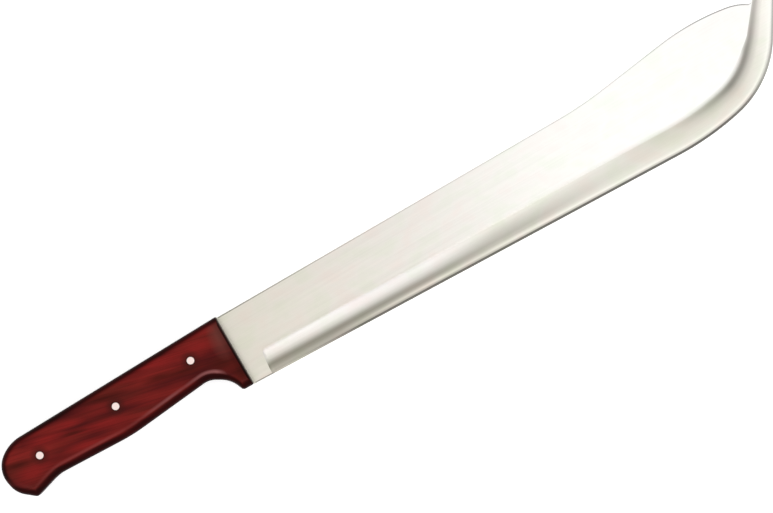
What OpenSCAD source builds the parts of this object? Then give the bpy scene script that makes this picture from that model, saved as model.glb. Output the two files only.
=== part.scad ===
// Machete: one steel plate with a full tang, two wooden scales, three rivets.
// Origin on the middle rivet's axis, halfway through the steel. X runs to the tip,
// Y to the spine, Z out of the side that faces the viewer. Sizes are millimetres.
// Heights and depths are measured from the rivet line, Y = 0.

/* [Blade] */
// Length of the blade, from the front of the handle to the tip
blade_length = 400; // [360:1:440]
// Thickness of the steel stock, as left on the tang
stock_thickness = 3; // [2.6:0.1:4]
// Thickness of the ground blade, between its two flats
flat_thickness = 2.8; // [2.2:0.1:3]
// Step from the front of the handle to the start of the ground flats
flat_start = 1; // [0.5:0.1:4]
// Height of the spine where it leaves the handle
spine_height = 16; // [12:0.1:16.5]
// Depth of the heel, where the edge line meets the handle
heel_depth = 30.4; // [26:0.1:34]

/* [Spine of the head] */
// Distance from the tip back to where the spine starts to rise
flare_back = 143; // [110:0.5:180]
// Height of the spine there
flare_height = 16.9; // [14:0.1:19]
// Radius of the hollow curve there
flare_radius = 240; // [80:5:400]
// Distance from the tip back to the top of the hump
hump_back = 61; // [52:0.5:75]
// Height at which the two slopes of the hump would meet
hump_height = 28.2; // [25:0.1:31]
// Radius of the hump
hump_radius = 186; // [80:2:260]
// Distance from the tip back to where the spine drops away
drop_back = 30; // [26:0.5:36]
// Height at which it would turn down without its rounding
drop_height = 23.7; // [21:0.1:25]
// Radius of the drop
drop_radius = 52; // [20:1:80]
// Distance from the tip back to the notch behind the horn
notch_back = 22.5; // [17:0.1:24]
// Height of the notch
notch_height = 19.1; // [15:0.1:20]
// Radius of the notch
notch_radius = 3; // [1:0.5:5]
// Height of the tip
tip_height = 35.5; // [32:0.1:40]
// Radius of the tip
tip_radius = 0.8; // [0.4:0.1:2]

/* [Edge of the head] */
// Distance from the tip back to where the edge starts to curve up
belly_back = 84.3; // [70:0.5:110]
// Depth of the belly
belly_depth = 39.9; // [35:0.1:44]
// Radius of the belly
belly_radius = 190; // [80:2:240]
// Distance from the tip back to where the edge turns up towards the tip
turn_back = 34.4; // [28:0.1:40]
// Depth at which it would turn up without its rounding
turn_depth = 29.4; // [26:0.1:34]
// Radius of the turn
turn_radius = 68; // [30:1:80]
// Distance from the tip back to where the edge curls back
curl_back = 6.6; // [5:0.1:9]
// Height of the curl
curl_height = 17.8; // [15:0.1:20]
// Radius of the curl
curl_radius = 50; // [10:1:60]

/* [Hollow grind] */
// Width of the ground band along the edge
grind_width = 17.5; // [12:0.1:20]
// Width of the band at its start, near the handle
grind_start_width = 16; // [12:0.1:20]
// Distance from its start over which the band widens
grind_spread = 250; // [100:5:280]
// Width of the band at the tip
grind_tip_width = 9.8; // [6:0.1:12]
// Distance from the tip over which the band narrows
grind_taper = 55; // [40:1:80]
// Radius of the wheel that ground it
wheel_radius = 78; // [60:1:400]
// Step from the front of the handle to the start of the band
plunge_gap = 12; // [8:0.5:30]
// Length over which the wheel runs in
plunge_run = 3.5; // [2:0.5:8]
// Width of the sharpening bevel
bevel_width = 1; // [0.6:0.1:2]
// Thickness of the steel behind that bevel
bevel_thickness = 0.9; // [0.7:0.1:1.2]
// Thickness left at the very edge
edge_thickness = 0.4; // [0.3:0.05:0.6]

/* [Handle] */
// From the middle rivet to the front of the scales
front_reach = 79.6; // [74:0.1:90]
// From the middle rivet to the butt
butt_reach = 80.4; // [74:0.1:90]
// Thickness of each scale
scale_thickness = 10.5; // [8:0.1:13]
// Rounding of the scales' outer edges
scale_round = 4.5; // [2:0.1:5]
// Width of that rounding at the front end
front_round = 2.2; // [1:0.1:3]
// How far the tang stays inside the outline of the scales
tang_inset = 0.2; // [0:0.05:0.6]
// Height of the scales at the front
front_height = 16.9; // [16.6:0.1:20]
// Depth of the guard at the front
guard_depth = 30.3; // [28:0.1:34]
// Rounding of the two front corners
front_corner = 0.9; // [0.6:0.1:2]

/* [Finger groove] */
// From the front back to the tip of the guard
guard_tip_back = 7.4; // [6.5:0.1:9]
// Radius of the guard's tip
guard_tip_radius = 2.6; // [1:0.1:3.5]
// From the front back to the bend of the guard's rear flank
flank_back = 11; // [10:0.1:13]
// Depth of that bend
flank_depth = 21.2; // [20:0.1:23]
// Radius of that bend
flank_radius = 16.8; // [8:0.2:20]
// From the front back to the top of the groove
groove_back = 22.3; // [20:0.1:26]
// Depth at the top of the groove
groove_depth = 14.6; // [13:0.1:16.5]
// Radius of the groove
groove_radius = 12.9; // [6:0.1:16]

/* [Belly and butt of the handle] */
// Depth of the palm swell, below the middle rivet
swell_depth = 20.4; // [18.8:0.1:24]
// Radius of the palm swell
swell_radius = 112; // [60:1:200]
// From the butt forward to the throat before the hook
throat_in = 30; // [27:0.1:34]
// Depth at the throat
throat_depth = 18.6; // [16:0.1:19.4]
// Radius of the throat
throat_radius = 28.5; // [12:0.5:40]
// From the butt forward to the point of the hook
hook_in = 12.1; // [10:0.1:15]
// Depth of the hook
hook_depth = 24.1; // [22:0.1:27]
// Radius of the hook
hook_radius = 3.2; // [1.5:0.1:4]
// From the butt forward to the bend below the butt
butt_low_in = 1.4; // [0:0.1:3]
// Depth of that bend
butt_low_depth = 15.4; // [13:0.1:18]
// Radius of that bend
butt_low_radius = 16.4; // [8:0.2:20]
// How far the butt's bend would stand behind it without its rounding
butt_end_out = 1.9; // [1:0.1:3]
// Height of that bend
butt_end_height = 2.3; // [0:0.1:5]
// Radius of that bend
butt_end_radius = 20; // [10:0.5:24]
// From the butt forward to the bend above the butt
butt_top_in = 12.7; // [10:0.1:16]
// Height of that bend
butt_top_height = 13.1; // [11:0.1:15]
// Radius of that bend
butt_top_radius = 29.5; // [12:0.5:34]

/* [Rivets] */
// Diameter of the rivets
rivet_d = 5; // [3:0.1:7]
// Clearance between a rivet and its hole, on the diameter
rivet_clearance = 0.1; // [0:0.05:0.3]
// Bevel at the ends of a rivet
rivet_bevel = 0.2; // [0.1:0.05:0.5]
// From the front of the scales back to the front rivet
front_rivet_back = 26.3; // [20:0.1:34]
// Height of the front rivet
front_rivet_height = 1.3; // [-4:0.1:5]
// From the butt forward to the rear rivet
rear_rivet_in = 25.6; // [18:0.1:32]
// Depth of the rear rivet
rear_rivet_depth = 2.8; // [-3:0.1:7]

/* [Hidden] */

steel = "gainsboro";
wood = "firebrick";
rivet_metal = "whitesmoke";

// Steps in the arc of one rounded corner, and in the rounding of a scale's edge.
corner_steps = 9;
edge_steps = 6;
// Steps across the hollow of the grind, and along the wheel's run-in.
hollow_steps = 8;
run_steps = 5;
// Share of the band's width at which the wheel first touches the steel.
plunge_share = 0.75;
// Facets of a bore or a rivet.
round_fn = 64;
// Share of a side that the roundings of its two corners may take.
side_share = 0.98;
// Least radius of a corner of an outline that is moved inwards.
least_radius = 0.6;
// Margin by which a cutting shape passes the steel.
margin = 2;

tip_x = front_reach + blade_length;
tang_half = stock_thickness / 2;
flat_half = flat_thickness / 2;
scale_top = tang_half + scale_thickness;

front_rivet_at = [front_reach - front_rivet_back, front_rivet_height];
middle_rivet_at = [0, 0];
rear_rivet_at = [rear_rivet_in - butt_reach, -rear_rivet_depth];
rivet_places = [front_rivet_at, middle_rivet_at, rear_rivet_at];

// Corners of the outlines as [x, y, radius], anticlockwise.
front_corners = [
    [front_reach, -guard_depth, front_corner],
    [front_reach, front_height, front_corner],
];
grip_corners = [
    [butt_top_in - butt_reach, butt_top_height, butt_top_radius],
    [-butt_end_out - butt_reach, butt_end_height, butt_end_radius],
    [butt_low_in - butt_reach, -butt_low_depth, butt_low_radius],
    [hook_in - butt_reach, -hook_depth, hook_radius],
    [throat_in - butt_reach, -throat_depth, throat_radius],
    [0, -swell_depth, swell_radius],
    [front_reach - groove_back, -groove_depth, groove_radius],
    [front_reach - flank_back, -flank_depth, flank_radius],
    [front_reach - guard_tip_back, -guard_depth, guard_tip_radius],
];
scale_corners = concat(front_corners, grip_corners);

heel = [front_reach, -heel_depth, 0];
edge_corners = [
    [tip_x - belly_back, -belly_depth, belly_radius],
    [tip_x - turn_back, -turn_depth, turn_radius],
    [tip_x - curl_back, curl_height, curl_radius],
];
tip = [tip_x, tip_height, tip_radius];
spine_corners = [
    [tip_x - notch_back, notch_height, notch_radius],
    [tip_x - drop_back, drop_height, drop_radius],
    [tip_x - hump_back, hump_height, hump_radius],
    [tip_x - flare_back, flare_height, flare_radius],
    [front_reach, spine_height, 0],
];

function flat(p) = [p.x, p.y];
function unit(from, to) = (to - from) / norm(to - from);
function left_of(v) = [-v.y, v.x];

function neighbour(corners, i, step) = corners[(i + step + len(corners)) % len(corners)];
function side(corners, i, step) = flat(neighbour(corners, i, step)) - flat(corners[i]);

// Half the angle between the two sides that meet at corner i.
function half_angle(corners, i) =
    let(u = side(corners, i, -1), v = side(corners, i, 1))
    acos(u * v / norm(u) / norm(v)) / 2;

// How far the rounding of corner i would reach along its sides.
function reach_wanted(corners, i) = corners[i].z / tan(half_angle(corners, i));

// The share of that reach that fits: a side too short for both of its corners is shared
// between them.
function reach_share(corners, i, step) =
    let(
        n = len(corners),
        both = reach_wanted(corners, i) + reach_wanted(corners, (i + step + n) % n)
    )
    min(1, side_share * norm(side(corners, i, step)) / both);

// The points of corner i rounded to its radius, or as far as its sides allow.
function rounded_corner(corners, i) =
    let(
        c = flat(corners[i]),
        to_before = unit([0, 0], side(corners, i, -1)),
        to_after = unit([0, 0], side(corners, i, 1)),
        half = half_angle(corners, i),
        fits = min(reach_share(corners, i, -1), reach_share(corners, i, 1)),
        reach = fits * reach_wanted(corners, i),
        centre = c + unit([0, 0], to_before + to_after) * reach / cos(half),
        start = c + to_before * reach - centre,
        turn = sign(cross(to_after, to_before)) * (180 - 2 * half)
    )
    corners[i].z == 0 ? [c] :
    [for (k = [0 : corner_steps])
        let(a = turn * k / corner_steps)
        centre + start * cos(a) + left_of(start) * sin(a)];

// The points of a closed outline with all its corners rounded.
function rounded(corners) = [for (i = [0 : len(corners) - 1]) each rounded_corner(corners, i)];

// The outline with side i, which starts at corner i, moved inwards by insets[i].
function shrunk(corners, insets) =
    let(n = len(corners))
    [for (i = [0 : n - 1])
        let(
            c = flat(corners[i]),
            u = -unit([0, 0], side(corners, i, -1)),
            v = unit([0, 0], side(corners, i, 1)),
            in_u = insets[(i + n - 1) % n],
            in_v = insets[i],
            bend = cross(u, v),
            moved = c + (in_u * v - in_v * u) / bend,
            radius = corners[i].z - sign(bend) * (in_u + in_v) / 2
        )
        [moved.x, moved.y, max(radius, least_radius)]];

// Insets of the scales' sides: the front side comes first and has its own rounding.
function scale_insets(share) =
    [for (i = [0 : len(scale_corners) - 1])
        share * (i == 0 ? front_round : scale_round)];

function tang_corners() =
    let(inner = shrunk(scale_corners, [for (c = scale_corners) tang_inset]))
    [for (i = [1 : len(inner) - 1]) inner[i]];

// One outline for the whole plate, from the heel round the head and back round the tang.
function plate_corners() =
    let(
        tang = tang_corners(),
        tang_top = [front_reach, tang[0].y, 0],
        tang_low = [front_reach, tang_inset - guard_depth, 0]
    )
    concat([heel], edge_corners, [tip], spine_corners, [tang_top],
        [for (i = [1 : len(tang) - 1]) tang[i]], [tang_low]);

// Closed solid through a row of rings of as many points each. Looking back along the row,
// the rings run anticlockwise. A row that is joined has no ends: it runs round in a circle.
module loft(rings, joined = false) {
    n = len(rings[0]);
    count = len(rings);
    last = count - 1;
    points = [for (ring = rings) each ring];
    sides = [for (k = [0 : joined ? last : last - 1]) for (i = [0 : n - 1])
        let(
            a = k * n + i,
            b = k * n + (i + 1) % n,
            next_a = (a + n) % (count * n),
            next_b = (b + n) % (count * n)
        )
        each [[a, next_a, next_b], [a, next_b, b]]];
    first_face = [for (i = [0 : n - 1]) i];
    last_face = [for (i = [n - 1 : -1 : 0]) last * n + i];
    polyhedron(points, joined ? sides : concat([first_face], sides, [last_face]));
}

module rivet_holes() {
    for (place = rivet_places)
        translate([place.x, place.y, -scale_top - margin])
            cylinder(d = rivet_d + rivet_clearance, h = 2 * (scale_top + margin), $fn = round_fn);
}

// Line of the edge from the start of the grind to past the tip.
function edge_line() =
    let(
        corners = plate_corners(),
        rise = unit(flat(heel), flat(edge_corners[0])),
        start = flat(heel) + rise * plunge_gap,
        last_corner = edge_corners[len(edge_corners) - 1]
    )
    concat(
        [for (k = [0 : run_steps]) start + rise * plunge_run * k / run_steps],
        [for (i = [1 : len(edge_corners)]) each rounded_corner(corners, i)],
        [flat(tip), flat(tip) + unit(flat(last_corner), flat(tip)) * margin]
    );

// Section that the wheel leaves, for one width of the band, as [distance in from the edge,
// half thickness]. It starts on the line of the bevel, outside the edge, and its last point
// lies past the crease and above the flat.
function ground_section(width) =
    let(
        edge = [0, edge_thickness / 2],
        shoulder = [bevel_width, bevel_thickness / 2],
        crease = [width, flat_half],
        chord = crease - shoulder,
        lift = sqrt(pow(wheel_radius, 2) - pow(norm(chord) / 2, 2)),
        axle = (crease + shoulder) / 2 + left_of(unit([0, 0], chord)) * lift,
        from = atan2(shoulder.y - axle.y, shoulder.x - axle.x),
        to = atan2(crease.y - axle.y, crease.x - axle.x),
        step = (to - from) / (hollow_steps - 0.5)
    )
    concat(
        [edge - (shoulder - edge) / bevel_width * margin],
        [for (i = [0 : hollow_steps])
            let(a = from + step * i)
            axle + wheel_radius * [cos(a), sin(a)]]
    );

// Section of the stock that the wheel takes away, where it has sunk in by depth, 0 to 1.
function grind_section(width, depth) =
    let(
        left = ground_section(width),
        clear = flat_half + margin,
        start = flat_half + stock_thickness / 8
    )
    concat(
        [[left[len(left) - 1].x, clear], [-margin, clear]],
        [for (p = left) [p.x, p.y + (1 - depth) * (start - min(p.y, flat_half))]]
    );

// What the wheel takes off one side of the plate.
module grind() {
    line = edge_line();
    last = len(line) - 1;
    rings = [for (k = [0 : last])
        let(
            along = unit(line[max(k - 1, 0)], line[min(k + 1, last)]),
            inward = left_of(along),
            spread = min(1, norm(line[k] - line[0]) / grind_spread),
            wide = grind_start_width + (grind_width - grind_start_width) * spread,
            taper = min(1, norm(line[k] - flat(tip)) / grind_taper),
            width = grind_tip_width + (wide - grind_tip_width) * taper,
            depth = sin(90 * min(1, k / run_steps)),
            run_in = plunge_share + (1 - plunge_share) * depth
        )
        [for (p = grind_section(width * run_in, depth))
            let(q = line[k] + inward * p.x)
            [q.x, q.y, p.y]]];
    loft(rings);
}

// Takes the ground blade down from the thickness of the stock.
module flats() {
    translate([front_reach + flat_start, -belly_depth - margin, flat_half])
        cube([blade_length, belly_depth + tip_height + 2 * margin, stock_thickness]);
}

module blade() {
    color(steel)
        difference() {
            translate([0, 0, -tang_half])
                linear_extrude(stock_thickness) polygon(rounded(plate_corners()));
            rivet_holes();
            for (side = [0, 1])
                mirror([0, 0, side]) {
                    flats();
                    grind();
                }
        }
}

// Rim of one scale, with its rounding, all the way round the flat core.
module scale_rim() {
    straight = scale_top - scale_round;
    section = concat(
        [[tang_half, 0], [tang_half, 1]],
        [for (i = [edge_steps : -1 : 0])
            let(a = 90 * i / edge_steps)
            [straight + scale_round * sin(a), 1 - cos(a)]]
    );
    outlines = [for (level = section)
        [for (p = rounded(shrunk(scale_corners, scale_insets(level[1]))))
            [p.x, p.y, level[0]]]];
    loft([for (i = [0 : len(outlines[0]) - 1]) [for (outline = outlines) outline[i]]], true);
}

// One scale, lying on the front of the tang.
module handle_scale() {
    difference() {
        union() {
            scale_rim();
            translate([0, 0, tang_half])
                linear_extrude(scale_thickness)
                    polygon(rounded(shrunk(scale_corners, scale_insets(1))));
        }
        rivet_holes();
    }
}

module front_scale() {
    color(wood) handle_scale();
}

module back_scale() {
    color(wood) mirror([0, 0, 1]) handle_scale();
}

// A rivet as long as the handle is thick, with its ends ground flush.
module rivet(place) {
    r = rivet_d / 2;
    profile = [
        [0, -scale_top],
        [r - rivet_bevel, -scale_top],
        [r, rivet_bevel - scale_top],
        [r, scale_top - rivet_bevel],
        [r - rivet_bevel, scale_top],
        [0, scale_top],
    ];
    color(rivet_metal)
        translate([place.x, place.y, 0])
            rotate_extrude($fn = round_fn) polygon(profile);
}

module front_rivet() {
    rivet(front_rivet_at);
}

module middle_rivet() {
    rivet(middle_rivet_at);
}

module rear_rivet() {
    rivet(rear_rivet_at);
}

blade();
front_scale();
back_scale();
front_rivet();
middle_rivet();
rear_rivet();
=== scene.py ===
import math

import bmesh
import bpy
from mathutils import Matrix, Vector


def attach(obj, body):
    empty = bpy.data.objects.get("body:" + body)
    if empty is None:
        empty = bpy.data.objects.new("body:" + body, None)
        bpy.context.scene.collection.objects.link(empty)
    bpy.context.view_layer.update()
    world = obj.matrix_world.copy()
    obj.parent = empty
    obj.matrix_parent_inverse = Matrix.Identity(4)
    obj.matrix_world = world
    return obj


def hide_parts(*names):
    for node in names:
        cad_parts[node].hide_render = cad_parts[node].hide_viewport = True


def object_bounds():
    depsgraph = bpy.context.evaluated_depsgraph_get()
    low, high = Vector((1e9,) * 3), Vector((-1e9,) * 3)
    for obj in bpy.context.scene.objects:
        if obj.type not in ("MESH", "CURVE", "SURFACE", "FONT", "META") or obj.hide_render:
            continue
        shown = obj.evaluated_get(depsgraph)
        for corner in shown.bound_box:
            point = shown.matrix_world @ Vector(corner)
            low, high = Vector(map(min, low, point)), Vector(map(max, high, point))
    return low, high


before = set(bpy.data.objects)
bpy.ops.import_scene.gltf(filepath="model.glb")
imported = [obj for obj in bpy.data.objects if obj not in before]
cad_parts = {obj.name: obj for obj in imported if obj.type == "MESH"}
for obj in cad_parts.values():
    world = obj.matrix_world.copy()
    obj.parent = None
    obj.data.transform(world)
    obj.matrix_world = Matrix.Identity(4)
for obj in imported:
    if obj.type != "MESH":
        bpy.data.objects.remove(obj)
cad_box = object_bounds()

# Blade: one plate of steel from the tip to the butt, blanked to its outline. Inside the
# handle it keeps the thickness of the stock, and in front of it both sides are ground. A
# wheel has then sunk a hollow band along the edge, and a stone has put on a short bevel.
HANDLE_FRONT = 0.0796

# Corners of its outline, as X, Y and the radius of their rounding.
HEEL = (HANDLE_FRONT, -0.0304, 0)
EDGE_CORNERS = [
    (0.3953, -0.03989, 0.190),
    (0.4452, -0.0294, 0.068),
    (0.4730, 0.0178, 0.050),
]
TIP = (0.47959, 0.03549, 0.0008)
SPINE_CORNERS = [
    (0.4571, 0.0191, 0.003),
    (0.4496, 0.0237, 0.052),
    (0.4186, 0.0282, 0.186),
    (0.3366, 0.0169, 0.240),
    (HANDLE_FRONT, 0.0160, 0),
]
FRONT_CORNERS = [
    (HANDLE_FRONT, -0.0303, 0.0009),
    (HANDLE_FRONT, 0.0169, 0.0009),
]
GRIP_CORNERS = [
    (-0.0677, 0.0131, 0.0295),
    (-0.0823, 0.0023, 0.0200),
    (-0.0790, -0.0154, 0.0164),
    (-0.0683, -0.0241, 0.0032),
    (-0.0504, -0.0186, 0.0285),
    (0, -0.0204, 0.112),
    (0.0573, -0.0146, 0.0129),
    (0.0686, -0.0212, 0.0168),
    (0.0722, -0.0303, 0.0026),
]
SCALE_CORNERS = FRONT_CORNERS + GRIP_CORNERS
RIVET_PLACES = [(0.0533, 0.0013), (0, 0), (-0.0548, -0.0028)]
RIVET_HOLE_RADIUS = 0.00255
HOLE_SIDES = 32

# Two arcs that share a side of the outline take at most this share of it.
SIDE_SHARE = 0.98
ROUNDING_STEPS = 14
LEAST_RADIUS = 0.0006

# The tang is thicker than the flats, and a short step joins the two.
TANG_INSET = 0.0002
TANG_HALF = 0.0015
FLAT_HALF = 0.0014
FLAT_START = 0.001
STEP_RUN = 0.0001

# The band gets wider over its first part and narrower towards the tip.
BEVEL_WIDTH = 0.001
CUT_TO_BEVEL = 3
BEVEL_HALF = 0.00045
EDGE_HALF = 0.0002
WHEEL_RADIUS = 0.078
BAND_WIDTH = 0.0175
BAND_START_WIDTH = 0.016
BAND_SPREAD = 0.25
BAND_TIP_WIDTH = 0.0098
BAND_TAPER = 0.055
BAND_RUN = 0.42

# The wheel starts clear of the steel and plunges in over a short run.
PLUNGE_GAP = 0.012
PLUNGE_RUN = 0.0035
PLUNGE_STEPS = 10
PLUNGE_SHARE = 0.75
WHEEL_START = FLAT_HALF + TANG_HALF / 4

# The crease beside the band is softened by a strip, which fades out before the tip.
BAND_ROWS = 12
CREASE_ROWS = 2
CREASE_SOFT = 0.12
CREASE_END = 0.044
CREASE_FADE = 0.03
PAST_TIP = 0.002
HORN_ROOM = 0.012

# The arris of the spine is broken, ever narrower from a place close to the horn.
ARRIS = 0.0008
ARRIS_ANGLE = 1.2
ARRIS_STEPS = 2
NARROW_START = 0.4555
NARROW_RUN = 0.0027
NARROW_SHARE = 0.65

# Places of the blade's three finishes in its list.
FLAT, BAND, RIM = range(3)

NEAR = 1e-7
LEVEL = 0.99999
SHARP_ANGLE = 0.6
FILL_SCALE = 1000
FACE_ORDER = Vector((1, 10, 100))


def moved_in(corners, insets):
    """Corners of an outline whose side i, which starts at corner i, moves in by insets[i]."""
    moved = []
    for i, (x, y, radius) in enumerate(corners):
        here = Vector((x, y))
        u = (here - Vector(corners[i - 1][:2])).normalized()
        v = (Vector(corners[(i + 1) % len(corners)][:2]) - here).normalized()
        bend = u.cross(v)
        place = here + (insets[i - 1] * v - insets[i] * u) / bend
        less = math.copysign((insets[i - 1] + insets[i]) / 2, bend)
        moved.append((place.x, place.y, max(radius - less, LEAST_RADIUS)))
    return moved


def rounded_loop(bm, corners, height):
    """Closed loop of edges through the corners, each rounded as far as its sides allow."""
    count = len(corners)
    points = [Vector((x, y, height)) for x, y, _ in corners]
    wanted = []
    for i, (_, _, radius) in enumerate(corners):
        before = points[i - 1] - points[i]
        after = points[(i + 1) % count] - points[i]
        wanted.append(radius / math.tan(before.angle(after) / 2))
    ends = []
    for i, point in enumerate(points):
        if wanted[i] == 0:
            ends.append([bm.verts.new(point)] * 2)
            continue
        shares = [1]
        for other in (i - 1, (i + 1) % count):
            side = (points[other] - point).length
            shares.append(SIDE_SHARE * side / (wanted[i] + wanted[other]))
        reach = wanted[i] * min(shares)
        before = (points[i - 1] - point).normalized()
        after = (points[(i + 1) % count] - point).normalized()
        half = before.angle(after) / 2
        bend = math.copysign(math.pi - 2 * half, after.cross(before).z)
        start = bm.verts.new(point + before * reach)
        swept = bmesh.ops.spin(
            bm,
            geom=[start],
            cent=point + (before + after).normalized() * reach / math.cos(half),
            axis=(0, 0, 1),
            angle=bend,
            steps=ROUNDING_STEPS,
        )
        ends.append([start, swept["geom_last"][0]])
    for i in range(count):
        bm.edges.new((ends[i - 1][1], ends[i][0]))
    return ends[0][0]


def in_order(first, second):
    """Vertices of a loop, from the first by way of the second."""
    row = [first, second]
    while True:
        ahead = [edge.other_vert(row[-1]) for edge in row[-1].link_edges]
        ahead = [vert for vert in ahead if vert != row[-2]][0]
        if ahead == first:
            return row
        row.append(ahead)


def plate_rim():
    """Points round the plate, from the heel by way of the tip and the butt."""
    tang = moved_in(SCALE_CORNERS, [TANG_INSET] * len(SCALE_CORNERS))
    corners = [HEEL] + EDGE_CORNERS + [TIP] + SPINE_CORNERS
    corners += [(HANDLE_FRONT, tang[1][1], 0)] + tang[2:]
    corners += [(HANDLE_FRONT, TANG_INSET + FRONT_CORNERS[0][1], 0)]
    bm = bmesh.new()
    heel = rounded_loop(bm, corners, 0)
    sides = [edge.other_vert(heel) for edge in heel.link_edges]
    points = [v.co.copy() for v in in_order(heel, max(sides, key=lambda v: v.co.x))]
    bm.free()
    return points


def wheel_axle(width):
    """Place of the wheel's axle, as distance in from the edge and height over the steel."""
    shoulder = Vector((BEVEL_WIDTH, BEVEL_HALF))
    chord = Vector((width, FLAT_HALF)) - shoulder
    lift = math.sqrt(WHEEL_RADIUS**2 - (chord.length / 2) ** 2)
    side = Vector((-chord.y, chord.x)).normalized()
    return shoulder + chord / 2 + side * lift


def ground_half(distance, width, sunk):
    """Half thickness of the band at a distance in from the edge."""
    if distance < BEVEL_WIDTH:
        left = EDGE_HALF + (BEVEL_HALF - EDGE_HALF) * distance / BEVEL_WIDTH
    else:
        axle = wheel_axle(width)
        left = axle.y - math.sqrt(WHEEL_RADIUS**2 - (distance - axle.x) ** 2)
    left += (1 - sunk) * (WHEEL_START - min(left, FLAT_HALF))
    return min(left, FLAT_HALF)


def ground_width(width, sunk):
    """Width over which the wheel has cut, where it has sunk in by a share of its depth."""
    low = FLAT_HALF - (WHEEL_START - FLAT_HALF) * (1 - sunk) / sunk
    if low < BEVEL_HALF:
        cut = BEVEL_WIDTH * (low - EDGE_HALF) / (BEVEL_HALF - EDGE_HALF)
        return max(cut, 0)
    axle = wheel_axle(width)
    return axle.x + math.sqrt(WHEEL_RADIUS**2 - (axle.y - low) ** 2)


def each_once(items):
    """The items in their order without repeats, so that every run gives the same mesh."""
    return list(dict.fromkeys(items))


def fill_flat(bm, loops):
    """Flat face between loops of edges, filled while its points stand far enough apart."""
    bmesh.ops.scale(bm, verts=bm.verts, vec=(FILL_SCALE, FILL_SCALE, FILL_SCALE))
    filled = bmesh.ops.triangle_fill(bm, edges=loops, use_beauty=True, normal=(0, 0, 1))
    back = 1 / FILL_SCALE
    bmesh.ops.scale(bm, verts=bm.verts, vec=(back, back, back))
    return [item for item in filled["geom"] if isinstance(item, bmesh.types.BMFace)]


rim = plate_rim()
arc = ROUNDING_STEPS + 1
edge_end = len(EDGE_CORNERS) * arc + 1
edge_line = rim[1 : edge_end + 1]
tip_arc = rim[edge_end : edge_end + arc]
back_line = rim[edge_end + arc :]
tip = Vector((TIP[0], TIP[1], 0))
heel = rim[0]
along_edge = (edge_line[0] - heel).normalized()
to_tip = (tip - edge_line[-1]).normalized()

# The wheel first touches the steel where it has sunk in far enough to meet the edge.
touch = (WHEEL_START - FLAT_HALF) / (WHEEL_START - EDGE_HALF)
first_turn = math.asin(touch) / (math.pi / 2)
stations = []
for k in range(PLUNGE_STEPS + 1):
    turn = first_turn + (1 - first_turn) * k / PLUNGE_STEPS
    place = heel + along_edge * (PLUNGE_GAP + PLUNGE_RUN * turn)
    stations.append((place, math.sin(turn * math.pi / 2)))
stations += [(place, 1) for place in edge_line]
stations += [(tip, 1), (tip + to_tip * PAST_TIP, 1)]
last = len(stations) - 1

steel = bmesh.new()
grind_map = steel.loops.layers.uv.new("grind")
band = bmesh.ops.create_grid(
    steel, x_segments=last, y_segments=BAND_ROWS + CREASE_ROWS, size=0.5, calc_uvs=False
)
cell = {}
run = [0]
for i in range(last):
    run.append(run[-1] + (stations[i + 1][0] - stations[i][0]).length)
for vert in band["verts"]:
    i = round((vert.co.x + 0.5) * last)
    j = round((vert.co.y + 0.5) * (BAND_ROWS + CREASE_ROWS))
    place, sunk = stations[i]
    ahead = stations[min(i + 1, last)][0] - stations[max(i - 1, 0)][0]
    inward = Vector((-ahead.y, ahead.x, 0)).normalized()
    spread = min(1, ((place - heel).length - PLUNGE_GAP) / BAND_SPREAD)
    wide = BAND_START_WIDTH + (BAND_WIDTH - BAND_START_WIDTH) * spread
    taper = min(1, (tip - place).length / BAND_TAPER)
    width = BAND_TIP_WIDTH + (wide - BAND_TIP_WIDTH) * taper
    width *= PLUNGE_SHARE + (1 - PLUNGE_SHARE) * sunk
    cut = width if sunk == 1 else ground_width(width, sunk)
    bevel = min(BEVEL_WIDTH, cut / CUT_TO_BEVEL)
    inside = 0 if j == 0 else bevel + (cut - bevel) * (j - 1) / (BAND_ROWS - 1)
    half = ground_half(inside, width, sunk)
    if j > BAND_ROWS:
        fade = min(1, max(0, ((tip - place).length - CREASE_END) / CREASE_FADE))
        inside = cut * (1 + CREASE_SOFT * fade * (j - BAND_ROWS) / CREASE_ROWS)
        half = FLAT_HALF
    vert.co = place + inward * inside
    vert.co.z = half
    cell[vert] = (run[i], inside / width)
for face in steel.faces:
    face.material_index = BAND
    for loop in face.loops:
        loop[grind_map].uv = cell[loop.vert]
for edge in steel.edges:
    shares = [cell[vert][1] for vert in edge.verts]
    if 0 < min(shares) and max(shares) <= BEVEL_WIDTH / BAND_TIP_WIDTH + NEAR:
        edge.smooth = False
bmesh.ops.remove_doubles(steel, verts=steel.verts, dist=NEAR)

# The horn is cut along its back, and its tip rounded.
cuts = [(tip, back_line[0])] + list(zip(tip_arc, tip_arc[1:]))
for start, end in cuts:
    way = (end - start).normalized()
    horn = [f for f in steel.faces if f.calc_center_median().y > back_line[0].y - HORN_ROOM]
    parts = horn + [item for face in horn for item in (*face.edges, *face.verts)]
    bmesh.ops.bisect_plane(
        steel,
        geom=each_once(parts),
        dist=NEAR,
        plane_co=start,
        plane_no=(way.y, -way.x, 0),
        clear_outer=True,
    )
behind = (back_line[0] - tip).to_2d()
junction = max(
    (v for v in steel.verts if abs((v.co - tip).to_2d().cross(behind)) < NEAR),
    key=lambda v: (v.co - tip).to_2d().length,
)
horn_start = junction.co.x
start = min(steel.verts, key=lambda v: (v.co - stations[0][0]).to_2d().length)

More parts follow.
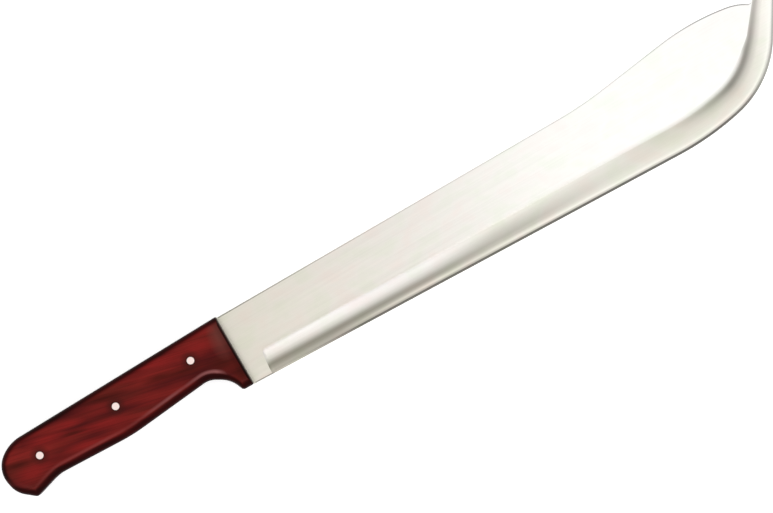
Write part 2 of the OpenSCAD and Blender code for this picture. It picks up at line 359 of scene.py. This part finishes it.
# The rest of the plate's outline, then the flat side of the blade.
row = [junction]
for point in back_line + [heel]:
    row.append(steel.verts.new((point.x, point.y, FLAT_HALF)))
row.append(start)
outline = [steel.edges.new(pair) for pair in zip(row, row[1:])]
crease = [
    edge
    for edge in steel.edges
    if len(edge.link_faces) == 1
    and min(vert.co.z for vert in edge.verts) > FLAT_HALF - NEAR
]
flat = bmesh.ops.contextual_create(steel, geom=outline + crease)
for face in flat["faces"]:
    face.material_index = FLAT
for place in (HANDLE_FRONT + FLAT_START, HANDLE_FRONT + FLAT_START - STEP_RUN):
    bmesh.ops.bisect_plane(
        steel,
        geom=steel.verts[:] + steel.edges[:] + steel.faces[:],
        dist=NEAR,
        plane_co=(place, 0, 0),
        plane_no=(1, 0, 0),
    )
for vert in steel.verts:
    if vert.co.x < HANDLE_FRONT + FLAT_START - STEP_RUN / 2:
        vert.co.z = TANG_HALF

# Rivet holes in the tang.
tang_face = min(steel.faces, key=lambda f: f.calc_center_median().x)
tang_edges = list(tang_face.edges)
bmesh.ops.delete(steel, geom=[tang_face], context="FACES_ONLY")
for x, y in RIVET_PLACES:
    hole = bmesh.ops.create_circle(steel, radius=RIVET_HOLE_RADIUS, segments=HOLE_SIDES)
    bmesh.ops.translate(steel, verts=hole["verts"], vec=(x, y, TANG_HALF))
    tang_edges += each_once(edge for vert in hole["verts"] for edge in vert.link_edges)
fill_flat(steel, tang_edges)
bmesh.ops.recalc_face_normals(steel, faces=steel.faces)
if sum(face.normal.z for face in steel.faces) < 0:
    bmesh.ops.reverse_faces(steel, faces=steel.faces)

# The far side is the same, and the rim joins the two.
open_edges = [edge for edge in steel.edges if len(edge.link_faces) == 1]
sheet = steel.verts[:] + steel.edges[:] + steel.faces[:]
far = bmesh.ops.duplicate(steel, geom=sheet)["geom"]
far_verts = [item for item in far if isinstance(item, bmesh.types.BMVert)]
far_faces = [item for item in far if isinstance(item, bmesh.types.BMFace)]
bmesh.ops.scale(steel, verts=far_verts, vec=(1, 1, -1))
bmesh.ops.reverse_faces(steel, faces=far_faces)
walls = bmesh.ops.extrude_edge_only(steel, edges=open_edges)["geom"]
wall_verts = [item for item in walls if isinstance(item, bmesh.types.BMVert)]
bmesh.ops.scale(steel, verts=wall_verts, vec=(1, 1, -1))
for item in walls:
    if isinstance(item, bmesh.types.BMFace):
        item.material_index = RIM
bmesh.ops.remove_doubles(steel, verts=steel.verts, dist=NEAR)
bmesh.ops.recalc_face_normals(steel, faces=steel.faces)

# The arrises of the spine are broken with a stone, ever less near the horn, where the
# ground band leaves no room.
arrises = [
    edge
    for edge in steel.edges
    if len(edge.link_faces) == 2
    and edge.calc_face_angle() > ARRIS_ANGLE
    and all(abs(vert.co.z) > FLAT_HALF - NEAR for vert in edge.verts)
    and all(vert.co.x > HANDLE_FRONT + FLAT_START - NEAR for vert in edge.verts)
    and all(vert.co.x < horn_start - NEAR for vert in edge.verts)
]
bmesh.ops.bevel(
    steel,
    geom=arrises,
    offset=ARRIS,
    offset_type="OFFSET",
    affect="EDGES",
    segments=ARRIS_STEPS,
    profile=0.5,
    material=RIM,
)
foot_height = FLAT_HALF - ARRIS
feet = [vert.co.xy for vert in steel.verts if abs(abs(vert.co.z) - foot_height) < NEAR]
for vert in steel.verts:
    kinds = {face.material_index for face in vert.link_faces}
    above_foot = abs(vert.co.z) > foot_height + NEAR
    if RIM in kinds and above_foot and NARROW_START < vert.co.x < horn_start - NEAR:
        foot = min(feet, key=lambda point: (point - vert.co.xy).length)
        share = 1 - NARROW_SHARE * min(1, (vert.co.x - NARROW_START) / NARROW_RUN)
        vert.co.xy = foot + (vert.co.xy - foot) * share
bmesh.ops.remove_doubles(steel, verts=steel.verts, dist=10 * NEAR)
steel.normal_update()
for face in steel.faces:
    face.smooth = True
    if abs(face.normal.z) > LEVEL and face.material_index != BAND:
        for edge in face.edges:
            edge.smooth = False
for edge in steel.edges:
    sides = {face.material_index for face in edge.link_faces}
    if edge.calc_face_angle(0) > SHARP_ANGLE or sides == {BAND, RIM}:
        edge.smooth = False

# The walls come in a chance order, so the faces are sorted by their places.
steel.faces.sort(key=lambda face: face.calc_center_median().dot(FACE_ORDER))


def add_node(tree, kind, inputs=(), **settings):
    """A node, with its inputs set to values or joined to other nodes' outputs."""
    node = tree.nodes.new(kind)
    for name, value in settings.items():
        setattr(node, name, value)
    for name, value in dict(inputs).items():
        if isinstance(value, bpy.types.NodeSocket):
            tree.links.new(value, node.inputs[name])
        else:
            node.inputs[name].default_value = value
    return node


def add_ramp(tree, factor, stops):
    """A colour ramp through the stops (position, colour)."""
    node = add_node(tree, "ShaderNodeValToRGB", {"Fac": factor})
    elements = node.color_ramp.elements
    elements.remove(elements[1])
    elements[0].position = stops[0][0]
    elements[0].color = (*stops[0][1], 1)
    for position, colour in stops[1:]:
        elements.new(position).color = (*colour, 1)
    return node.outputs["Color"]


def grey(stops):
    """The stops (position, level) of a ramp in greys."""
    return [(position, (level, level, level)) for position, level in stops]


def mix_colours(tree, factor, first, second, blend="MIX"):
    """Two colours mixed, by the Mix node's sockets for colours: inputs 6 and 7, output 2."""
    node = add_node(tree, "ShaderNodeMix", data_type="RGBA", blend_type=blend)
    for index, value in ((0, factor), (6, first), (7, second)):
        if isinstance(value, bpy.types.NodeSocket):
            tree.links.new(value, node.inputs[index])
        elif index == 0:
            node.inputs[index].default_value = value
        else:
            node.inputs[index].default_value = (*value, 1)
    return node.outputs[2]


def darken(tree, colour, tone):
    """A colour multiplied by a tone."""
    return mix_colours(tree, 1, colour, tone, "MULTIPLY")


def calculate(tree, operation, *values):
    """Result of a Math node."""
    node = add_node(tree, "ShaderNodeMath", dict(enumerate(values)), operation=operation)
    return node.outputs[0]


def stretched(tree, value, low, high, to_low=0, to_high=1):
    """A value whose range from low to high is stretched from to_low to to_high."""
    ends = {"From Min": low, "From Max": high, "To Min": to_low, "To Max": to_high}
    return add_node(tree, "ShaderNodeMapRange", {"Value": value, **ends}).outputs[0]


def coordinates(tree, kind):
    """Texture coordinates of a kind."""
    return add_node(tree, "ShaderNodeTexCoord").outputs[kind]


def axes_of(tree, vector):
    """X, Y and Z of a vector."""
    return add_node(tree, "ShaderNodeSeparateXYZ", {0: vector}).outputs


def fine_bump(tree, shader, height, strength):
    """Shallow relief on a finish, a fifth of a millimetre deep at most."""
    bump = add_node(
        tree, "ShaderNodeBump", {"Height": height, "Strength": strength, "Distance": 0.0002}
    )
    tree.links.new(bump.outputs[0], shader.inputs["Normal"])


def new_finish(name, metallic, roughness):
    """A material with its tree and its shader."""
    finish = bpy.data.materials.new(name)
    finish.use_nodes = True
    shader = finish.node_tree.nodes["Principled BSDF"]
    shader.inputs["Metallic"].default_value = metallic
    shader.inputs["Roughness"].default_value = roughness
    return finish, finish.node_tree, shader


def object_place(tree, centre, turn, reach):
    """Object coordinates measured from a centre, along a turned axis, in units of a reach."""
    return add_node(
        tree,
        "ShaderNodeMapping",
        {
            "Vector": coordinates(tree, "Object"),
            "Location": centre,
            "Rotation": (0, 0, turn),
            "Scale": reach,
        },
        vector_type="TEXTURE",
    ).outputs[0]


def grain(tree, reach, turn=0, detail=2, centre=(0, 0, 0)):
    """Noise with marks of about a reach in metres, which run along a turned axis."""
    place = object_place(tree, centre, turn, reach)
    noise = add_node(
        tree, "ShaderNodeTexNoise", {"Vector": place, "Scale": 1, "Detail": detail}
    )
    return noise.outputs[0]


def satin_steel(name):
    """Ground steel: fine scratches along the blade, over soft cloudy patches."""
    finish, tree, shader = new_finish(name, 1, 0.34)
    # The base colour is darker and beige near the handle and paler towards the tip: a painted
    # reflection, darker near the handle.
    body = add_ramp(
        tree,
        axes_of(tree, coordinates(tree, "Object"))["X"],
        [
            (0.09, (0.79, 0.755, 0.67)),
            (0.15, (0.84, 0.805, 0.74)),
            (0.26, (0.90, 0.885, 0.845)),
            (0.34, (0.90, 0.90, 0.88)),
        ],
    )
    clouds = add_ramp(
        tree,
        grain(tree, (0.018, 0.0125, 0.0125), detail=4),
        [(0.35, (0.95, 0.97, 0.92)), (0.5, (0.99, 0.98, 0.97)), (0.65, (1.0, 0.95, 0.94))],
    )
    body = darken(tree, body, clouds)
    scratches = grain(tree, (0.1, 0.0007, 0.003), detail=3)
    lines = add_ramp(tree, scratches, grey([(0.3, 0.955), (0.7, 1.0)]))
    rough = stretched(tree, scratches, 0.3, 0.7, 0.30, 0.38)
    tree.links.new(rough, shader.inputs["Roughness"])
    fine_bump(tree, shader, scratches, 0.05)
    return finish, tree, shader, darken(tree, body, lines)


satin, satin_tree, satin_shader, satin_body = satin_steel("satin_flat")
satin_tree.links.new(satin_body, satin_shader.inputs["Base Color"])

ground, ground_tree, ground_shader, ground_body = satin_steel("ground_band")
band_place = add_node(ground_tree, "ShaderNodeUVMap", uv_map="grind").outputs[0]
run_along = stretched(ground_tree, axes_of(ground_tree, band_place)["X"], 0, BAND_RUN)

# Past the crease the painted tones run out into the flat, over the strip where polishing after
# grinding softened the crease.
across = calculate(
    ground_tree, "MULTIPLY", axes_of(ground_tree, band_place)["Y"], 1 / (1 + CREASE_SOFT)
)


def band_ramp(stops):
    """Tones of painted reflection and shade across the band, at shares of its width."""
    return add_ramp(
        ground_tree, across, [(share / (1 + CREASE_SOFT), tone) for share, tone in stops]
    )


# The hollow's colour holds a painted reflection of the dark side of the room near the handle, and
# less of it further on.
near_handle = band_ramp(
    [
        (0.06, (0.60, 0.60, 0.58)),
        (0.16, (0.58, 0.58, 0.55)),
        (0.27, (0.42, 0.42, 0.39)),
        (0.36, (0.35, 0.35, 0.32)),
        (0.43, (0.42, 0.42, 0.40)),
        (0.56, (0.70, 0.71, 0.72)),
        (0.70, (0.85, 0.86, 0.90)),
        (0.96, (0.86, 0.87, 0.94)),
        (1.03, (0.92, 0.92, 0.92)),
        (1.12, (1.0, 1.0, 1.0)),
    ]
)
half_way = band_ramp(
    [
        (0.06, (0.52, 0.52, 0.48)),
        (0.11, (0.62, 0.61, 0.57)),
        (0.17, (0.96, 0.95, 0.90)),
        (0.21, (0.90, 0.89, 0.84)),
        (0.30, (0.60, 0.59, 0.55)),
        (0.42, (0.50, 0.49, 0.46)),
        (0.60, (0.54, 0.54, 0.51)),
        (0.94, (0.65, 0.65, 0.62)),
        (1.0, (0.88, 0.88, 0.86)),
        (1.06, (1.0, 1.0, 1.0)),
    ]
)
past_half = band_ramp(
    [
        (0.06, (0.50, 0.49, 0.46)),
        (0.11, (0.64, 0.63, 0.59)),
        (0.17, (0.96, 0.95, 0.90)),
        (0.26, (0.80, 0.79, 0.74)),
        (0.45, (0.67, 0.66, 0.62)),
        (0.65, (0.62, 0.61, 0.57)),
        (0.85, (0.60, 0.59, 0.56)),
        (0.97, (0.64, 0.63, 0.60)),
        (1.0, (0.78, 0.78, 0.76)),
        (1.06, (0.94, 0.94, 0.93)),
        (1.12, (1.0, 1.0, 1.0)),
    ]
)
far_off = band_ramp(
    [
        (0.06, (0.50, 0.49, 0.46)),
        (0.11, (0.64, 0.63, 0.59)),
        (0.17, (0.95, 0.94, 0.88)),
        (0.26, (0.80, 0.79, 0.73)),
        (0.45, (0.70, 0.68, 0.62)),
        (0.65, (0.59, 0.57, 0.52)),
        (0.85, (0.51, 0.50, 0.45)),
        (0.94, (0.51, 0.50, 0.45)),
        (0.97, (0.56, 0.55, 0.51)),
        (1.0, (0.72, 0.72, 0.69)),
        (1.05, (0.86, 0.86, 0.84)),
        (1.12, (0.98, 0.98, 0.98)),
    ]
)
near_tip = band_ramp(
    [
        (0.06, (0.80, 0.80, 0.78)),
        (0.17, (1.0, 1.0, 0.97)),
        (0.55, (0.93, 0.91, 0.87)),
        (0.8, (0.80, 0.76, 0.73)),
        (0.96, (0.76, 0.73, 0.70)),
        (1.08, (1.0, 1.0, 1.0)),
    ]
)
tone = near_handle
for stops, further in (
    ([(0.12, 0), (0.28, 0.4), (0.38, 1)], half_way),
    ([(0.41, 0), (0.57, 1)], past_half),
    ([(0.57, 0), (0.66, 1)], far_off),
    ([(0.80, 0), (0.94, 1)], near_tip),
):
    share = add_ramp(ground_tree, run_along, grey(stops))
    tone = mix_colours(ground_tree, share, tone, further)

# The line beside the bevel gets its painted highlight sooner than the rest of the hollow.
bevel_side_highlight = band_ramp(grey([(0.10, 0), (0.14, 1), (0.20, 1), (0.26, 0.5), (0.34, 0)]))
share = add_ramp(ground_tree, run_along, grey([(0.10, 0), (0.19, 0.47), (0.28, 0.95), (0.38, 0)]))
tone = mix_colours(ground_tree, darken(ground_tree, share, bevel_side_highlight), tone, half_way)
ground_body = darken(ground_tree, ground_body, tone)

# A soft painted shade along the crease bounds the hollow where it turns up to the tip.
crease_shade = band_ramp(
    grey(
        [
            (0.52, 1.0),
            (0.70, 0.83),
            (0.77, 0.66),
            (0.84, 0.50),
            (0.88, 0.45),
            (0.91, 0.46),
            (0.95, 0.56),
            (1.0, 0.70),
            (1.05, 0.87),
            (1.12, 1.0),
        ]
    )
)
share = add_ramp(ground_tree, run_along, grey([(0.68, 0), (0.8, 1), (0.88, 0.95), (0.95, 0.6)]))
crease_shade = mix_colours(ground_tree, share, (1, 1, 1), crease_shade)
ground_body = darken(ground_tree, ground_body, crease_shade)

# The sharpening bevel shows as a thin dark line of painted dark reflection, which fades towards
# its two ends.
bevel_dark_reflection = band_ramp(grey([(0.0, 0.42), (0.04, 0.36), (0.06, 0.27), (0.07, 0.27), (0.10, 1.0)]))
share = add_ramp(
    ground_tree,
    run_along,
    grey([(0.04, 0), (0.15, 1), (0.74, 1), (0.79, 0.80), (0.84, 0.36), (0.96, 0.35)]),
)
bevel_dark_reflection = mix_colours(ground_tree, share, (1, 1, 1), bevel_dark_reflection)
ground_body = darken(ground_tree, ground_body, bevel_dark_reflection)
ground_tree.links.new(ground_body, ground_shader.inputs["Base Color"])

# The rim of the plate is left as the press cut it, a little darker at both ends.
plate_side, side_tree, side_shader, side_body = satin_steel("plate_side")
side_tone = add_ramp(
    side_tree,
    axes_of(side_tree, coordinates(side_tree, "Object"))["X"],
    grey(
        [
            (0.09, 0.48),
            (0.16, 0.75),
            (0.24, 0.92),
            (0.37, 0.95),
            (0.40, 0.8),
            (0.43, 0.48),
            (0.454, 0.5),
            (0.459, 0.9),
        ]
    ),
)
side_body = darken(side_tree, side_body, side_tone)
side_tree.links.new(side_body, side_shader.inputs["Base Color"])


def new_piece(name, bm, finishes, node):
    """Put a finished piece in the place of its CAD node."""
    mesh = bpy.data.meshes.new(name)
    bm.to_mesh(mesh)
    bm.free()
    for finish in finishes:
        mesh.materials.append(finish)
    piece = bpy.data.objects.new(name, mesh)
    bpy.context.scene.collection.objects.link(piece)
    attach(piece, "root")
    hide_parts(node)


new_piece("machete_blade", steel, [satin, ground, plate_side], "blade")

# Handle scales: two slabs of red-brown hardwood, one on each side of the tang, riveted on,
# shaped together with it, rounded along their outer edges and polished.
SCALE_TOP = 0.012
SCALE_ROUND = 0.0045
ROUND_REACH = 0.0065
FRONT_SIDE = 0
FRONT_REACH = 0.0022
GUARD_SIDE = 9
GUARD_REACH = 0.0045
POLISHED_OFF = 0.00003
ROUND_STEPS = 10
FLAT_RING = 0.0003

# The grain's turn, and spots of its figure as X, Y, length and breadth.
WOOD_TURN = math.radians(-13)
RED_SPOTS = [
    (0.060, 0.007, 0.021, 0.008),
    (0.036, 0.010, 0.018, 0.004),
    (-0.047, 0.004, 0.015, 0.004),
    (-0.064, -0.010, 0.016, 0.007),
    (-0.010, -0.006, 0.022, 0.004),
    (-0.026, -0.0115, 0.017, 0.0035),
    (-0.030, 0.005, 0.012, 0.003),
]
DARK_SPOTS = [
    (0.048, -0.0025, 0.016, 0.004),
    (0.069, -0.010, 0.012, 0.007),
    (0.076, -0.020, 0.009, 0.015),
    (0.032, 0.002, 0.014, 0.0035),
    (-0.004, 0.008, 0.017, 0.003),
    (-0.070, -0.001, 0.014, 0.003),
    (-0.030, -0.0013, 0.010, 0.0015),
]
FRONT_PALE_SPOT = (0.0765, 0.006, 0.0085, 0.017)
GRIME_REACH = 0.0068

wood = bmesh.new()
levels = [(TANG_HALF, 0)]
for k in range(ROUND_STEPS + 1):
    turn = k / ROUND_STEPS * math.pi / 2
    levels.append((SCALE_TOP - SCALE_ROUND * (1 - math.sin(turn)), 1 - math.cos(turn)))
rings = []
for height, share in levels:
    known = set(wood.edges)
    insets = [POLISHED_OFF + share * ROUND_REACH] * len(SCALE_CORNERS)
    insets[FRONT_SIDE] = POLISHED_OFF + share * FRONT_REACH
    insets[GUARD_SIDE] = POLISHED_OFF + share * GUARD_REACH
    rounded_loop(wood, moved_in(SCALE_CORNERS, insets), height)
    rings.append([edge for edge in wood.edges if edge not in known])
for lower, upper in zip(rings, rings[1:]):
    bmesh.ops.bridge_loops(wood, edges=lower + upper)
bores = []
for height, ring in ((TANG_HALF, rings[0]), (SCALE_TOP, rings[-1])):
    mouths = []
    for x, y in RIVET_PLACES:
        hole = bmesh.ops.create_circle(wood, radius=RIVET_HOLE_RADIUS, segments=HOLE_SIDES)
        bmesh.ops.translate(wood, verts=hole["verts"], vec=(x, y, height))
        mouths.append(each_once(edge for vert in hole["verts"] for edge in vert.link_edges))
    bores.append(mouths)
    side = fill_flat(wood, ring + sum(mouths, []))
for low, high in zip(*bores):
    bmesh.ops.bridge_loops(wood, edges=low + high)
bmesh.ops.inset_region(
    wood, faces=side, thickness=FLAT_RING, use_boundary=True, use_even_offset=True
)
bmesh.ops.recalc_face_normals(wood, faces=wood.faces)
for face in wood.faces:
    face.smooth = True
for edge in wood.edges:
    edge.smooth = edge.calc_face_angle(0) < SHARP_ANGLE

rosewood, tree, shader = new_finish("polished_wood", 0, 0.22)
shader.inputs["Specular IOR Level"].default_value = 0.05


def spot(x, y, length, breadth, strength):
    """Soft oval spot along the grain, which fades from its middle."""
    place = object_place(tree, (x, y, 0), WOOD_TURN, (length, breadth, 1))
    level = add_node(
        tree, "ShaderNodeVectorMath", {0: place, 1: (1, 1, 0)}, operation="MULTIPLY"
    )
    far = add_node(tree, "ShaderNodeVectorMath", {0: level.outputs[0]}, operation="LENGTH")
    return add_ramp(tree, far.outputs["Value"], grey([(0.2, strength), (1, 0)]))


colour = add_ramp(
    tree,
    grain(tree, (0.045, 0.0075, 0.011), WOOD_TURN, 1.5),
    [
        (0.30, (0.070, 0.0055, 0.0055)),
        (0.42, (0.110, 0.0078, 0.0072)),
        (0.50, (0.145, 0.0098, 0.0085)),
        (0.58, (0.175, 0.0120, 0.0098)),
        (0.70, (0.215, 0.0150, 0.0120)),
    ],
)

# Dark heartwood runs through it in long soft spots, between redder ones.
olive = add_ramp(
    tree,
    grain(tree, (0.06, 0.012, 0.013), WOOD_TURN, 1.5, (0.3, 0.1, 0)),
    grey([(0.52, 0), (0.68, 0.5)]),
)
colour = mix_colours(tree, olive, colour, (0.085, 0.014, 0.008))
for place in RED_SPOTS:
    colour = mix_colours(tree, spot(*place, 0.85), colour, (0.235, 0.0130, 0.0115))
for place in DARK_SPOTS:
    colour = mix_colours(tree, spot(*place, 0.8), colour, (0.062, 0.0060, 0.0035))
pores = grain(tree, (0.03, 0.0009, 0.002), WOOD_TURN, 3)
colour = darken(tree, colour, add_ramp(tree, pores, grey([(0.34, 0.80), (0.54, 1.0)])))

# The wood is paler and browner in a spot at the front. Grime has gathered round the rivets,
# and the front edge is darkened as painted shade.
colour = mix_colours(tree, spot(*FRONT_PALE_SPOT, 0.85), colour, (0.140, 0.036, 0.028))
for x, y in RIVET_PLACES:
    grime = spot(x, y, GRIME_REACH, GRIME_REACH, 1.0)
    colour = mix_colours(tree, grime, colour, (0.045, 0.0070, 0.0050))
lengthways = axes_of(tree, coordinates(tree, "Object"))["X"]
# Painted shade on the rounded front edge.
front_edge_shade = add_ramp(
    tree, lengthways, grey([(0.0750, 1.0), (0.0764, 0.6), (HANDLE_FRONT, 0.7)])
)
colour = darken(tree, colour, front_edge_shade)

# The rounded border is darkened as painted shade, broader along the lower side, where a
# painted highlight runs as a paler line inside it.
facing = axes_of(tree, coordinates(tree, "Normal"))
up = calculate(tree, "ABSOLUTE", facing["Z"])
below = calculate(tree, "MINIMUM", facing["Y"], 0)
border_shade = add_ramp(
    tree,
    calculate(tree, "MULTIPLY_ADD", below, 0.2, up),
    [
        (0.78, (0.20, 0.08, 0.08)),
        (0.86, (0.28, 0.16, 0.16)),
        (0.91, (0.60, 0.48, 0.48)),
        (0.95, (0.92, 0.90, 0.90)),
        (0.98, (1, 1, 1)),
    ],
)
colour = darken(tree, colour, border_shade)
# Painted highlight: a paler line along the rounding of the lower side.
down = stretched(tree, facing["Y"], -0.4, 0)
border_highlight = add_ramp(tree, down, grey([(0.32, 0), (0.60, 0.95), (0.74, 1), (1, 0)]))
handle_run = stretched(tree, lengthways, -0.08, 0.08)
share = add_ramp(
    tree,
    handle_run,
    grey(
        [
            (0.08, 0.15),
            (0.25, 0.70),
            (0.38, 0.85),
            (0.50, 0.30),
            (0.56, 0.15),
            (0.69, 0.52),
            (0.76, 0.22),
            (0.84, 0.62),
            (0.90, 0.90),
            (0.93, 0),
        ]
    ),
)
border_highlight = calculate(tree, "MULTIPLY", border_highlight, share)
highlight_tint = add_ramp(
    tree, handle_run, [(0.50, (0.23, 0.033, 0.030)), (0.60, (0.30, 0.100, 0.098))]
)
colour = mix_colours(tree, border_highlight, colour, highlight_tint)
tree.links.new(colour, shader.inputs["Base Color"])
fine_bump(tree, shader, pores, 0.08)

back_wood = wood.copy()
bmesh.ops.scale(back_wood, verts=back_wood.verts, vec=(1, 1, -1))
bmesh.ops.recalc_face_normals(back_wood, faces=back_wood.faces)
new_piece("front_handle_scale", wood, [rosewood], "front_scale")
new_piece("back_handle_scale", back_wood, [rosewood], "back_scale")

# Rivets: three solid aluminium pins, hammered into the bored scales and tang, then ground
# flush with the wood and polished with it. Their eased rims are darkened as painted shade.
RIVET_RADIUS = 0.0025
RIVET_EASE = 0.00045
RIVET_SIDES = 48
EASE_STEPS = 3

polished, tree, shader = new_finish("rivet_aluminium", 1, 0.28)
tint = add_ramp(
    tree,
    grain(tree, (0.002, 0.002, 0.002), detail=3),
    [(0.35, (1.0, 0.80, 0.75)), (0.65, (1.0, 0.86, 0.81))],
)
up = calculate(tree, "ABSOLUTE", axes_of(tree, coordinates(tree, "Normal"))["Z"])
# Painted shade on the eased rims, darker the more they lean.
rim_shade = add_ramp(tree, up, [(0.6, (0.55, 0.36, 0.33)), (0.97, (1, 1, 1))])
tree.links.new(darken(tree, tint, rim_shade), shader.inputs["Base Color"])
for name, (x, y) in zip(["front_rivet", "middle_rivet", "rear_rivet"], RIVET_PLACES):
    pin = bmesh.new()
    bmesh.ops.create_cone(
        pin,
        cap_ends=True,
        segments=RIVET_SIDES,
        radius1=RIVET_RADIUS,
        radius2=RIVET_RADIUS,
        depth=2 * SCALE_TOP,
    )
    ends = [edge for edge in pin.edges if abs(edge.verts[0].co.z - edge.verts[1].co.z) < NEAR]
    bmesh.ops.bevel(
        pin,
        geom=ends,
        offset=RIVET_EASE,
        offset_type="OFFSET",
        affect="EDGES",
        segments=EASE_STEPS,
        profile=0.5,
        material=-1,
    )
    bmesh.ops.translate(pin, verts=pin.verts, vec=(x, y, 0))
    for face in pin.faces:
        face.smooth = True
        if abs(face.normal.z) > LEVEL:
            for edge in face.edges:
                edge.smooth = False
    new_piece(name + "_pin", pin, [polished], name)

# Studio: a white table under the machete, a white room, a soft lamp over the head of the
# blade and a long strip lamp beside the edge.
TABLE_REACH = 4

top = bmesh.new()
bmesh.ops.create_grid(top, x_segments=1, y_segments=1, size=TABLE_REACH)
bmesh.ops.translate(top, verts=top.verts, vec=(0, 0, cad_box[0][2]))
mesh = bpy.data.meshes.new("table")
top.to_mesh(mesh)
top.free()
table = bpy.data.objects.new("table", mesh)
bpy.context.scene.collection.objects.link(table)

# The camera and reflections see the table white, and it lights the machete like a grey one.
finish = bpy.data.materials.new("white_table")
finish.use_nodes = True
tree = finish.node_tree
tree.nodes.clear()
ray = add_node(tree, "ShaderNodeLightPath").outputs
seen = calculate(tree, "MAXIMUM", ray["Is Camera Ray"], ray["Is Glossy Ray"])
seen = calculate(tree, "MAXIMUM", seen, ray["Is Transmission Ray"])
matt = add_node(tree, "ShaderNodeBsdfDiffuse", {"Color": (0.8, 0.8, 0.8, 1)})
glow = add_node(tree, "ShaderNodeEmission", {"Color": (1, 1, 1, 1), "Strength": 0.6})
both = add_node(tree, "ShaderNodeAddShader", {0: matt.outputs[0], 1: glow.outputs[0]})
dull = add_node(tree, "ShaderNodeBsdfDiffuse", {"Color": (0.45, 0.45, 0.45, 1)})
mixed = add_node(
    tree, "ShaderNodeMixShader", {0: seen, 1: dull.outputs[0], 2: both.outputs[0]}
)
add_node(tree, "ShaderNodeOutputMaterial", {0: mixed.outputs[0]})
table.data.materials.append(finish)

# The camera sees the room white. It lights the machete most from above, and reflections
# show it more even.
world = bpy.data.worlds.new("studio")
world.use_nodes = True
tree = world.node_tree
tree.nodes.clear()
ray = add_node(tree, "ShaderNodeLightPath").outputs
seen = calculate(tree, "MAXIMUM", ray["Is Camera Ray"], ray["Is Transmission Ray"])
rise = axes_of(tree, coordinates(tree, "Generated"))["Z"]
soft = add_ramp(tree, rise, grey([(0.0, 0.35), (1.0, 1.15)]))
gloss = add_ramp(tree, rise, grey([(0.0, 0.6), (0.3, 0.8), (0.7, 0.86), (1.0, 0.86)]))
light = mix_colours(tree, ray["Is Glossy Ray"], soft, gloss)
light = mix_colours(tree, seen, light, (1, 1, 1))
back = add_node(tree, "ShaderNodeBackground", {"Color": light, "Strength": 1})
add_node(tree, "ShaderNodeOutputWorld", {0: back.outputs[0]})
bpy.context.scene.world = world


def add_lamp(name, place, aim, size, brightness):
    """Hang a soft rectangular lamp, with its brightness as seen on a white card."""
    lamp = bpy.data.lights.new(name, "AREA")
    lamp.shape = "RECTANGLE"
    lamp.size, lamp.size_y = size
    lamp.energy = brightness * math.pi * size[0] * size[1]
    stand = bpy.data.objects.new(name, lamp)
    bpy.context.scene.collection.objects.link(stand)
    stand.location = place
    stand.rotation_euler = (Vector(aim) - Vector(place)).to_track_quat("-Z", "Y").to_euler()
    stand.visible_camera = False


add_lamp("head_lamp", (0.44, 0.02, 0.35), (0.44, 0.02, 0), (0.32, 0.32), 0.3)
add_lamp("edge_lamp", (0.15, -0.39, 1.13), (0.15, 0, 0), (1.2, 0.2), 1.8)

# Camera: straight above, far away, turned so that the blade rises to the right.
CAMERA_PLACE = (0.1881, -0.00345, 3)
CAMERA_TURN = -math.radians(30)
VIEW_WIDTH = 0.4715
SENSOR_WIDTH = 36

camera_data = bpy.data.cameras.new("camera")
camera_data.sensor_fit = "HORIZONTAL"
camera_data.sensor_width = SENSOR_WIDTH
camera_data.lens = SENSOR_WIDTH * CAMERA_PLACE[2] / VIEW_WIDTH
camera_data.clip_end = 20
camera = bpy.data.objects.new("camera", camera_data)
camera.location = CAMERA_PLACE
camera.rotation_euler = (0, 0, CAMERA_TURN)
bpy.context.scene.collection.objects.link(camera)
bpy.context.scene.camera = camera
bpy.context.scene.view_settings.view_transform = "Standard"
